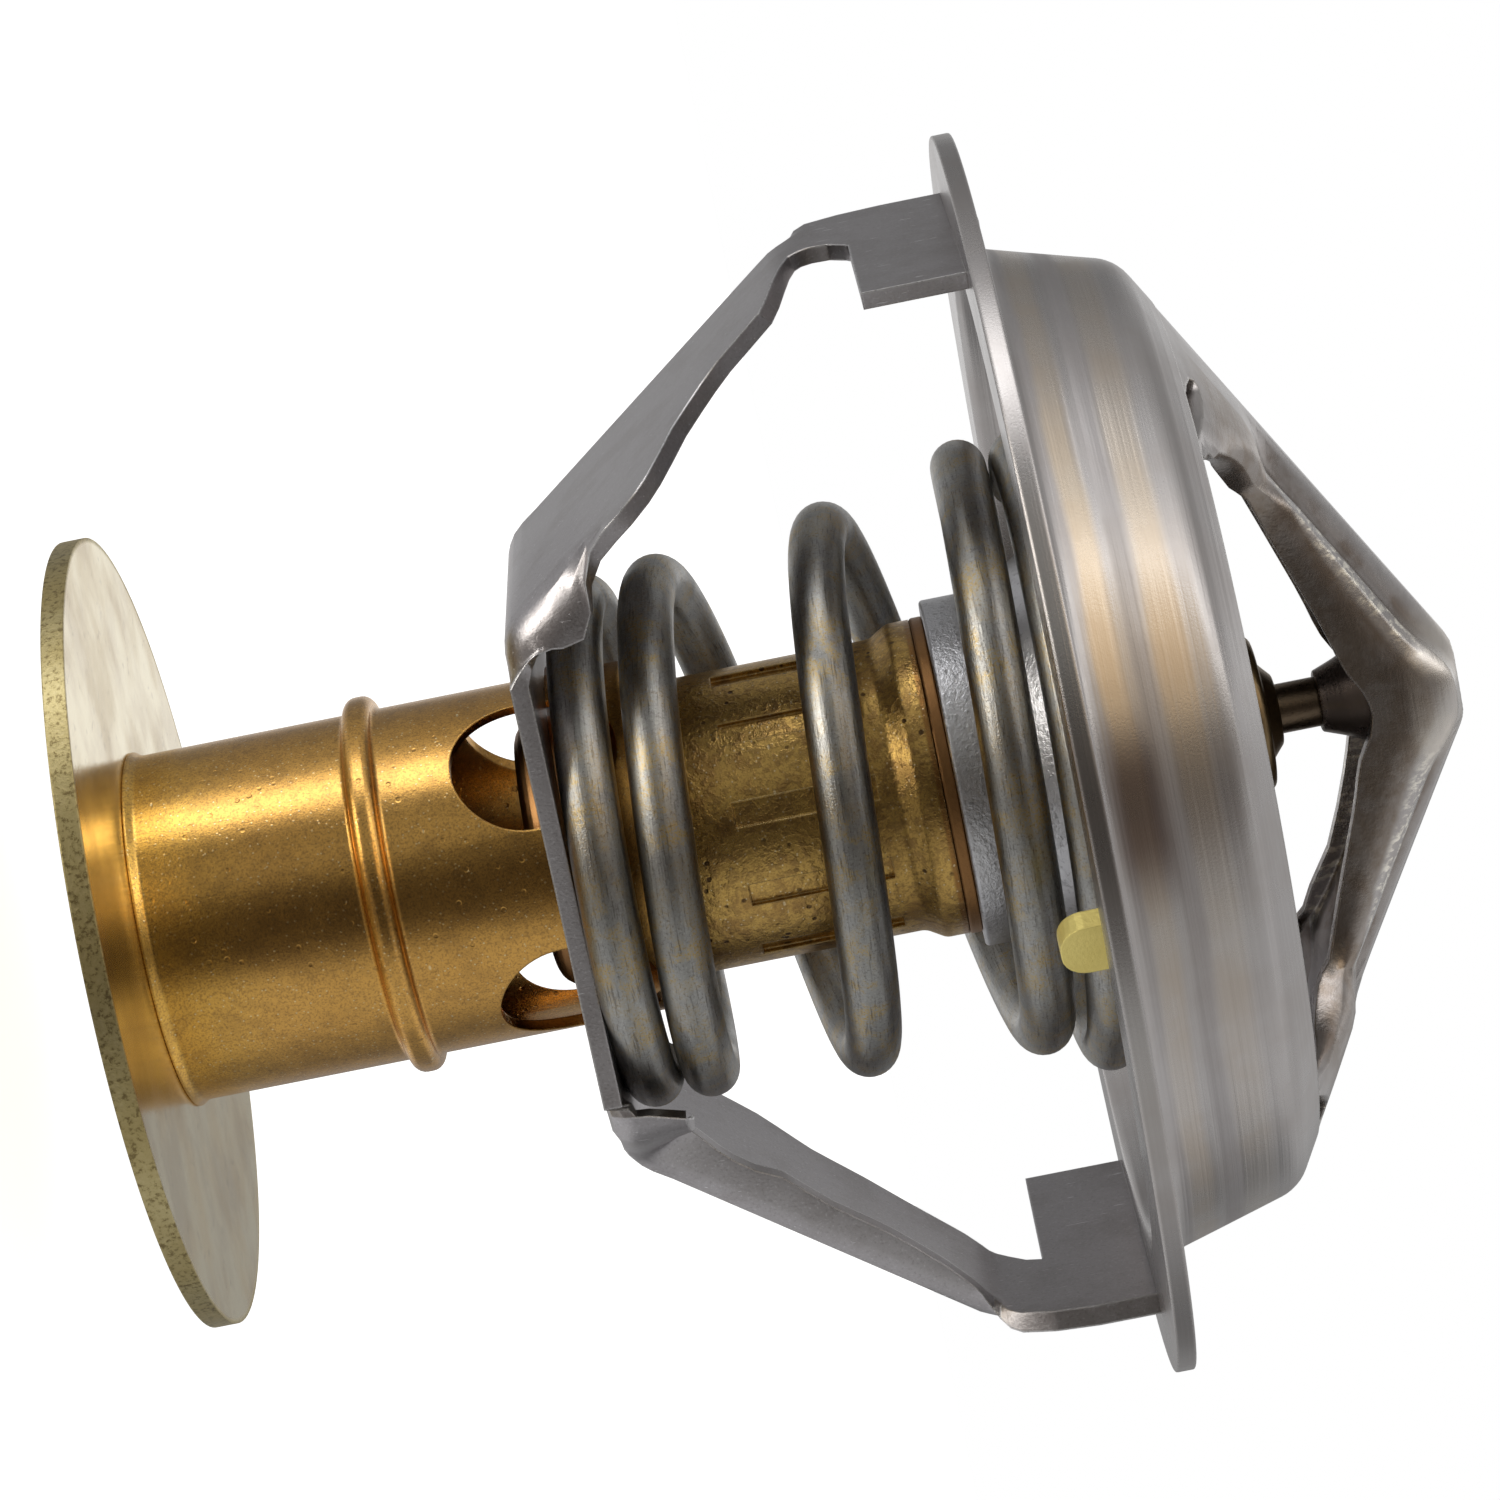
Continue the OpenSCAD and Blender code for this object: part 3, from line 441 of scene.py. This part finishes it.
def sleeve_finish():
    f = Finish("sleeve brass", 1.0)
    z = f.parts()[2]
    drift = f.noise(5, 3, 0.5)
    cloud = f.noise(1.6, 4, 0.6)
    speck = f.noise(0.12, 2, 0.65)
    spark = f.fade(f.cells(0.34), 0.10, 0.20)
    nicks = f.fade(f.cells(3.1, (1, 1, 0.5)), 0.03, 0.06)
    pits = f.fade(f.cells(0.8), 0.12, 0.22)
    pitted = f.step(f.noise(2.8, 3, 0.6), 0.44, 0.60)
    mottle = f.step(f.noise(0.4, 3, 0.65), 0.44, 0.62)
    neck = f.step(z, NECK_BOTTOM, NECK_BOTTOM + 1.6)
    foot = f.fade(z, FOOT_BOTTOM, FOOT_BOTTOM + 6.0)
    flare = f.band(z, FLARE_MIDDLE, 0.1, 0.2)
    edge = f.edges(0.12) * neck
    base = f.mix(SLEEVE_COPPER, SLEEVE_GOLD, drift)
    # Painted reflection: warmer gold towards the foot, where the disc is mirrored
    base = f.mix(base, FOOT_PAINTED_REFLECTION, foot * 0.5)
    base = f.mix(base, NECK_BRASS, neck)
    base = f.mix(base, FLARE_BROWN, flare * 0.85)
    base = f.mix(base, SLEEVE_CLOUD, f.step(cloud, 0.44, 0.66) * (0.3 + 0.35 * neck))
    base = f.mix(base, SLEEVE_SPECK, f.step(speck, 0.46, 0.64) * 0.5)
    base = f.mix(base, NECK_MOTTLE, mottle * (0.12 + 0.38 * neck))
    base = f.mix(base, PIT_DARK, pits * pitted * (0.15 + 0.8 * neck))
    base = f.mix(base, SPARK_GOLD, spark * 0.5 + nicks * 0.5)
    # Painted highlight along the neck's edges and dent rims
    base = f.mix(base, NECK_EDGE_PAINTED_HIGHLIGHT, edge * 0.5)
    shoulder = f.band(z, NECK_TOP, 1.0, 0.6)
    rough = 0.17 + 0.06 * speck + 0.05 * drift + 0.06 * neck + 0.12 * shoulder
    height = speck * 0.5 + spark * 0.3 + mottle * neck * 0.8 - pits * pitted * 1.2 - nicks * 0.8
    return f.wear(base, rough, f.bump(height, 0.014, 0.8, f.rounded(0.15)))


# Bypass disc: pale smudged brass with fine scratches and a coarse olive rim

DISC_PALE = (0.90, 0.79, 0.52)
DISC_SMUDGE = (0.74, 0.61, 0.37)
DISC_BROWN = (0.50, 0.37, 0.20)
DISC_FLECK = (0.30, 0.21, 0.11)
RIM_OLIVE = (0.42, 0.34, 0.12)
RIM_DARK = (0.16, 0.11, 0.05)
DISC_RIM_R = 20.5


def disc_finish():
    f = Finish("disc brass", 1.0)
    x, y = f.parts()[:2]
    scratches = f.noise(0.2, 4, 0.7, (1, 14, 1))
    other = f.noise(0.25, 4, 0.7, (10, 1, 1))
    smudge = f.step(f.noise(5, 3, 0.5), 0.36, 0.66)
    brown = f.step(f.noise(6, 4, 0.55), 0.42, 0.66)
    fleck = f.step(f.noise(0.6, 4, 0.65, (1, 2, 1)), 0.58, 0.72)
    coarse = f.noise(0.3, 3, 0.7)
    rim = f.step(f.radius(x, y), DISC_RIM_R, DISC_RIM_R + 0.3)
    base = f.mix(DISC_PALE, DISC_SMUDGE, smudge)
    base = f.mix(base, DISC_BROWN, brown * 0.5)
    base = f.mix(base, DISC_FLECK, fleck * 0.35)
    base = f.mix(base, RIM_OLIVE, rim * (0.4 + 0.6 * coarse))
    base = f.mix(base, RIM_DARK, rim * f.step(coarse, 0.50, 0.66) * 0.7)
    rough = 0.15 + 0.08 * smudge + 0.05 * scratches + rim * 0.2
    height = scratches * 0.5 + other * 0.4 + rim * coarse * 2.5
    return f.wear(base, rough, f.bump(height, 0.02, 0.5, f.rounded(0.12)))


# Small and hidden parts

def plain_metal(name, dark, light, rough, metallic=1.0):
    f = Finish(name, metallic)
    grain = f.noise(0.2, 3, 0.65)
    drift = f.noise(3, 3, 0.5)
    base = f.mix(dark, light, 0.6 * drift + 0.4 * grain)
    return f.wear(base, rough + 0.15 * grain, f.bump(grain, 0.04, 0.5, f.rounded(0.12)))


def plain_soft(name, dark, light, rough):
    f = Finish(name)
    grain = f.noise(0.4, 3, 0.6)
    return f.wear(f.mix(dark, light, grain), rough + 0.1 * grain, f.bump(grain, 0.03, 0.4))


# Main spring: a left-hand coil with closed ends, counted in turns from the lower end

SPRING_TURNS = 4.6
SPRING_START = -3
# A hundredth of a millimetre is left between the wire and its seats
WIRE_R = 1.44
WIRE_SIDES = 32
WIRE_RINGS = 540
# Turns looked ahead and back for the wire's direction
LOOK_AHEAD = 0.004
# Rings on the square-cut ends, as shares of the wire's radius
END_RINGS = [0.001, 0.82, 1.0]
# The coil's radius at its lower end, how much it widens, and how it does so
COIL_R = 12.6
COIL_WIDENS = 2.85
WIDENS_FROM = 0.6
WIDENS_OVER = SPRING_TURNS - 0.8
WIDENS_POWER = 1.35
# Turns, and height of the wire's middle
SPRING_RISE = [[0, 24.8], [0.3, 24.8], [0.95, 27.78], [1.25, 27.82], [3.1, 44.85], [3.35, 46.2],
               [3.65, 46.47], [4.3, 49.45], [4.6, 49.45]]
# Turns, and how far the coil tilts and shifts in the direction in which it leans
SPRING_TILT = [[1.2, 0], [1.5, 0.7], [2, 0.8], [3.05, 0.8], [3.4, 0]]
SPRING_SHIFT = [[2.6, 0], [3.05, 0.6], [3.6, 0.6], [4.1, 0]]
LEAN_ANGLE = math.radians(-18.6)


def smooth(u):
    u = min(1.0, max(0.0, u))
    return u * u * (3 - 2 * u)


def lookup(x, table):
    """Straight-line reading of a table of [x, y] pairs."""
    if x <= table[0][0]:
        return table[0][1]
    for (x0, y0), (x1, y1) in zip(table, table[1:]):
        if x <= x1:
            return y0 + (y1 - y0) * (x - x0) / (x1 - x0)
    return table[-1][1]


def averaged(x, table, half=0.12, count=4):
    """The same reading with its corners rounded off."""
    reads = [lookup(x + half * k / count, table) for k in range(-count, count + 1)]
    return sum(reads) / len(reads)


def spring_point(u):
    """Middle of the wire after u turns."""
    u = min(SPRING_TURNS, max(0, u))
    angle = math.radians(SPRING_START - 360 * u)
    radius = COIL_R + COIL_WIDENS * smooth((u - WIDENS_FROM) / WIDENS_OVER) ** WIDENS_POWER
    tilt = averaged(u, SPRING_TILT) * math.cos(angle - LEAN_ANGLE)
    shift = -averaged(u, SPRING_SHIFT)
    return Vector((radius * math.cos(angle) + shift * math.cos(LEAN_ANGLE),
                   radius * math.sin(angle) + shift * math.sin(LEAN_ANGLE),
                   averaged(u, SPRING_RISE) + tilt))


def make_mesh(name, points, faces):
    mesh = bpy.data.meshes.new(name)
    mesh.from_pydata([Vector(p) * MM for p in points], [], faces)
    mesh.validate()
    made = bpy.data.objects.new(name, mesh)
    bpy.context.scene.collection.objects.link(made)
    for face in mesh.polygons:
        face.use_smooth = True
    return made


def make_spring():
    """Round wire along the coil; each point also keeps its place in the straight wire."""
    points = []
    wire = []
    length = 0.0
    before = spring_point(0)
    stations = [(0, share) for share in END_RINGS]
    stations += [(i / WIRE_RINGS, 1.0) for i in range(1, WIRE_RINGS)]
    stations += [(1, share) for share in reversed(END_RINGS)]
    for at, share in stations:
        u = at * SPRING_TURNS
        middle = spring_point(u)
        along = (spring_point(u + LOOK_AHEAD) - spring_point(u - LOOK_AHEAD)).normalized()
        out = Vector((middle.x, middle.y, 0)).normalized()
        side = along.cross(out).normalized()
        out = side.cross(along)
        length += (middle - before).length
        before = middle
        for k in range(WIRE_SIDES):
            a = math.tau * k / WIRE_SIDES
            points.append(middle + WIRE_R * share * (math.cos(a) * out + math.sin(a) * side))
            wire.append((math.cos(a) * WIRE_R, length, math.sin(a) * WIRE_R))
    faces = []
    for i in range(len(stations) - 1):
        for k in range(WIRE_SIDES):
            a = i * WIRE_SIDES + k
            b = i * WIRE_SIDES + (k + 1) % WIRE_SIDES
            faces.append((a, b, b + WIRE_SIDES, a + WIRE_SIDES))
    made = make_mesh("spring_coil", points, faces)
    store = made.data.attributes.new("wire", "FLOAT_VECTOR", "POINT")
    store.data.foreach_set("vector", [c for p in wire for c in p])
    return made


# Parts that come with the frame

# Edges that turn by more than this stay sharp
SHARP_EDGE = math.radians(32)


def dress(node, material):
    """Gives a part that came with the frame its finish."""
    part = nodes[node]
    for slot in part.material_slots:
        slot.material = material
    if not part.material_slots:
        part.data.materials.append(material)


def smooth_facets():
    """Shading of a part's facets: smooth, but sharp at real edges."""
    group = bpy.data.node_groups.new("smooth facets", "GeometryNodeTree")
    group.interface.new_socket("Geometry", in_out="INPUT", socket_type="NodeSocketGeometry")
    group.interface.new_socket("Geometry", in_out="OUTPUT", socket_type="NodeSocketGeometry")
    made = Nodes(group)
    mesh = made.node("NodeGroupInput")
    mesh = made.node("GeometryNodeRemoveAttribute", None, {0: mesh, "Name": "custom_normal"})
    mesh = made.node("GeometryNodeMergeByDistance", None, {0: mesh, "Distance": 1e-6})
    angle = made.node("GeometryNodeInputMeshEdgeAngle")
    flat = made.node("FunctionNodeCompare", {"operation": "LESS_THAN"}, {"A": angle, "B": SHARP_EDGE})
    mesh = made.node("GeometryNodeSetShadeSmooth", {"domain": "FACE"}, {0: mesh})
    mesh = made.node("GeometryNodeSetShadeSmooth", {"domain": "EDGE"}, {0: mesh, "Shade Smooth": flat})
    made.node("NodeGroupOutput", None, {0: mesh}, out=None)
    return group


# Floor and light

FLOOR_HALF = 3000
# The floor is just below the disc's place when the valve is fully open
FLOOR_Z = -TRAVEL - 0.2


def make_floor():
    """A pale floor, which glows a little so that it reads as white."""
    corners = [(-FLOOR_HALF, -FLOOR_HALF), (FLOOR_HALF, -FLOOR_HALF), (FLOOR_HALF, FLOOR_HALF),
               (-FLOOR_HALF, FLOOR_HALF)]
    floor = make_mesh("floor", [(x, y, FLOOR_Z) for x, y in corners], [(0, 1, 2, 3)])
    material = bpy.data.materials.new("pale floor")
    material.use_nodes = True
    shader = material.node_tree.nodes["Principled BSDF"]
    shader.inputs["Base Color"].default_value = (0.8, 0.8, 0.8, 1)
    shader.inputs["Roughness"].default_value = 0.9
    shader.inputs["Emission Color"].default_value = (1, 1, 1, 1)
    shader.inputs["Emission Strength"].default_value = 0.75
    floor.data.materials.append(material)
    floor.visible_glossy = False


# Light of the room round the valve axis: degrees from the camera's side up to the photograph's
# top, level, and green and blue as shares of it
ROOM_MIDDLE = [
    (-180, 0.32, 1, 1), (-150, 0.20, 1, 1), (-128, 0.18, 1, 1), (-106, 0.32, 1, 1),
    (-89, 0.48, 1, 1), (-60, 0.52, 1, 0.97), (-46, 0.46, 1, 0.97), (-36, 0.20, 0.95, 0.9),
    (-24, 0.07, 0.9, 0.8), (-2, 0.055, 0.88, 0.78), (10, 0.11, 0.95, 0.85), (22, 0.32, 1, 0.95),
    (35, 0.34, 1, 0.95), (46, 0.24, 1, 0.95), (58, 0.42, 1, 1), (66, 2.4, 1, 1), (72, 3.2, 1, 1),
    (78, 2.4, 1, 1), (90, 0.60, 1, 1), (106, 0.38, 1, 1), (128, 0.26, 1, 1), (152, 0.24, 1, 1),
    (180, 0.32, 1, 1)]
ROOM_BRIDGE_SIDE = [
    (-180, 0.55, 1, 1), (-128, 0.70, 1, 1), (-106, 0.72, 1, 1), (-74, 0.58, 1, 1),
    (-47, 0.55, 1, 0.98), (-30, 0.28, 0.93, 0.88), (-20, 0.14, 0.9, 0.84), (-4, 0.16, 0.9, 0.82),
    (8, 0.42, 0.93, 0.84), (22, 1.05, 0.95, 0.88), (34, 2.0, 0.98, 0.94), (46, 2.3, 0.99, 0.97),
    (58, 1.1, 1, 1), (74, 0.74, 1, 1), (100, 0.48, 1, 1), (128, 0.34, 1, 1), (156, 0.44, 1, 1),
    (180, 0.55, 1, 1)]
ROOM_DISC_SIDE = [
    (-180, 0.70, 1, 1), (-128, 0.60, 1, 1), (-85, 0.66, 1, 1), (-60, 0.60, 1, 1),
    (-38, 0.44, 1, 0.97), (-20, 0.28, 0.92, 0.85), (0, 0.26, 0.9, 0.82), (20, 0.36, 0.95, 0.88),
    (60, 0.55, 1, 1), (90, 0.58, 1, 1), (130, 0.50, 1, 1), (156, 0.52, 1, 1), (180, 0.70, 1, 1)]
# Where the light of one side gives way to the next, from -1 at the disc's end to 1 at the bridge's
DISC_SIDE_ENDS = (-0.48, -0.22)
BRIDGE_SIDE_STARTS = (0.20, 0.46)
# Soft lights: where they stand (up, front, along the axis), degrees to full and to no light, colour
LAMPS = [
    (0.46, 0.45, -0.77, 9, 22, (5.6, 5.4, 5.0)),
    (0.33, 0.78, 0.52, 4, 20, (1.0, 0.80, 0.55))]


def make_world():
    """A studio that is white to the camera, while the part mirrors a grey room with two soft lights."""
    world = bpy.data.worlds.new("studio")
    bpy.context.scene.world = world
    world.use_nodes = True
    world.node_tree.nodes.clear()
    room = Nodes(world.node_tree)
    look = room.node("ShaderNodeTexCoord", out="Generated")
    up = room.vector("DOT_PRODUCT", look, ROOM_UP, out="Value")
    front = room.vector("DOT_PRODUCT", look, ROOM_FRONT, out="Value")
    along = room.vector("DOT_PRODUCT", look, (0, 0, 1), out="Value")
    turn = room.maths("ARCTAN2", up, front) / math.tau + 0.5

    def sweep(tones):
        stops = [(0.5 + angle / 360, (level, level * green, level * blue))
                 for angle, level, green, blue in tones]
        return room.node("ShaderNodeValToRGB", {"stops": stops}, {"Fac": turn})

    light = room.mix(sweep(ROOM_DISC_SIDE), sweep(ROOM_MIDDLE), room.step(along, *DISC_SIDE_ENDS))
    light = room.mix(light, sweep(ROOM_BRIDGE_SIDE), room.step(along, *BRIDGE_SIDE_STARTS))
    for aim_up, aim_front, aim_along, inner, outer, colour in LAMPS:
        aim = Vector(ROOM_UP) * aim_up + Vector(ROOM_FRONT) * aim_front + Vector((0, 0, aim_along))
        near = room.vector("DOT_PRODUCT", look, aim.normalized(), out="Value")
        spot = room.step(near, math.cos(math.radians(outer)), math.cos(math.radians(inner)))
        light = room.mix(light, colour, spot)
    rays = room.node("ShaderNodeLightPath", out="Is Camera Ray")
    lit = room.node("ShaderNodeBackground", None, {"Color": light, "Strength": 1.0})
    seen = room.node("ShaderNodeBackground", None, {"Color": (1, 1, 1, 1), "Strength": 1.0})
    both = room.node("ShaderNodeMixShader", None, {0: rays, 1: lit, 2: seen})
    room.node("ShaderNodeOutputWorld", None, {"Surface": both}, out=None)


make_camera()
make_floor()
make_world()
bpy.context.scene.view_settings.view_transform = "Standard"

dress("housing", housing_finish())
dress("lower_frame", frame_finish())
dress("main_valve", valve_finish())
dress("bypass_sleeve", sleeve_finish())
dress("bypass_disc", disc_finish())
dress("piston", plain_metal("piston steel", (0.10, 0.08, 0.06), (0.28, 0.20, 0.13), 0.22))
dress("element_cup", plain_metal("element copper", (0.22, 0.10, 0.04), (0.48, 0.26, 0.10), 0.34))
dress("element_guide", plain_metal("guide brass", (0.16, 0.11, 0.06), (0.42, 0.30, 0.16), 0.3))
dress("jiggle_pin", plain_metal("pin brass", (0.66, 0.52, 0.13), (1.0, 0.86, 0.32), 0.30, 0.6))
dress("main_spring", plain_metal("spring core", (0.15, 0.15, 0.14), (0.36, 0.37, 0.35), 0.3))
dress("wax_charge", plain_soft("wax", (0.70, 0.62, 0.40), (0.82, 0.76, 0.56), 0.5))
dress("rubber_boot", plain_soft("boot rubber", (0.03, 0.03, 0.03), (0.07, 0.07, 0.07), 0.6))
dress("seal_washer", plain_soft("washer plastic", (0.78, 0.76, 0.70), (0.88, 0.86, 0.80), 0.4))

facets = smooth_facets()
for name in ("housing", "lower_frame"):
    nodes[name].modifiers.new("smooth facets", "NODES").node_group = facets

coil = make_spring()
coil.data.materials.append(spring_finish())
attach(coil, "valve")
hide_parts("main_spring")
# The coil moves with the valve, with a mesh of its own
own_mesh(coil)
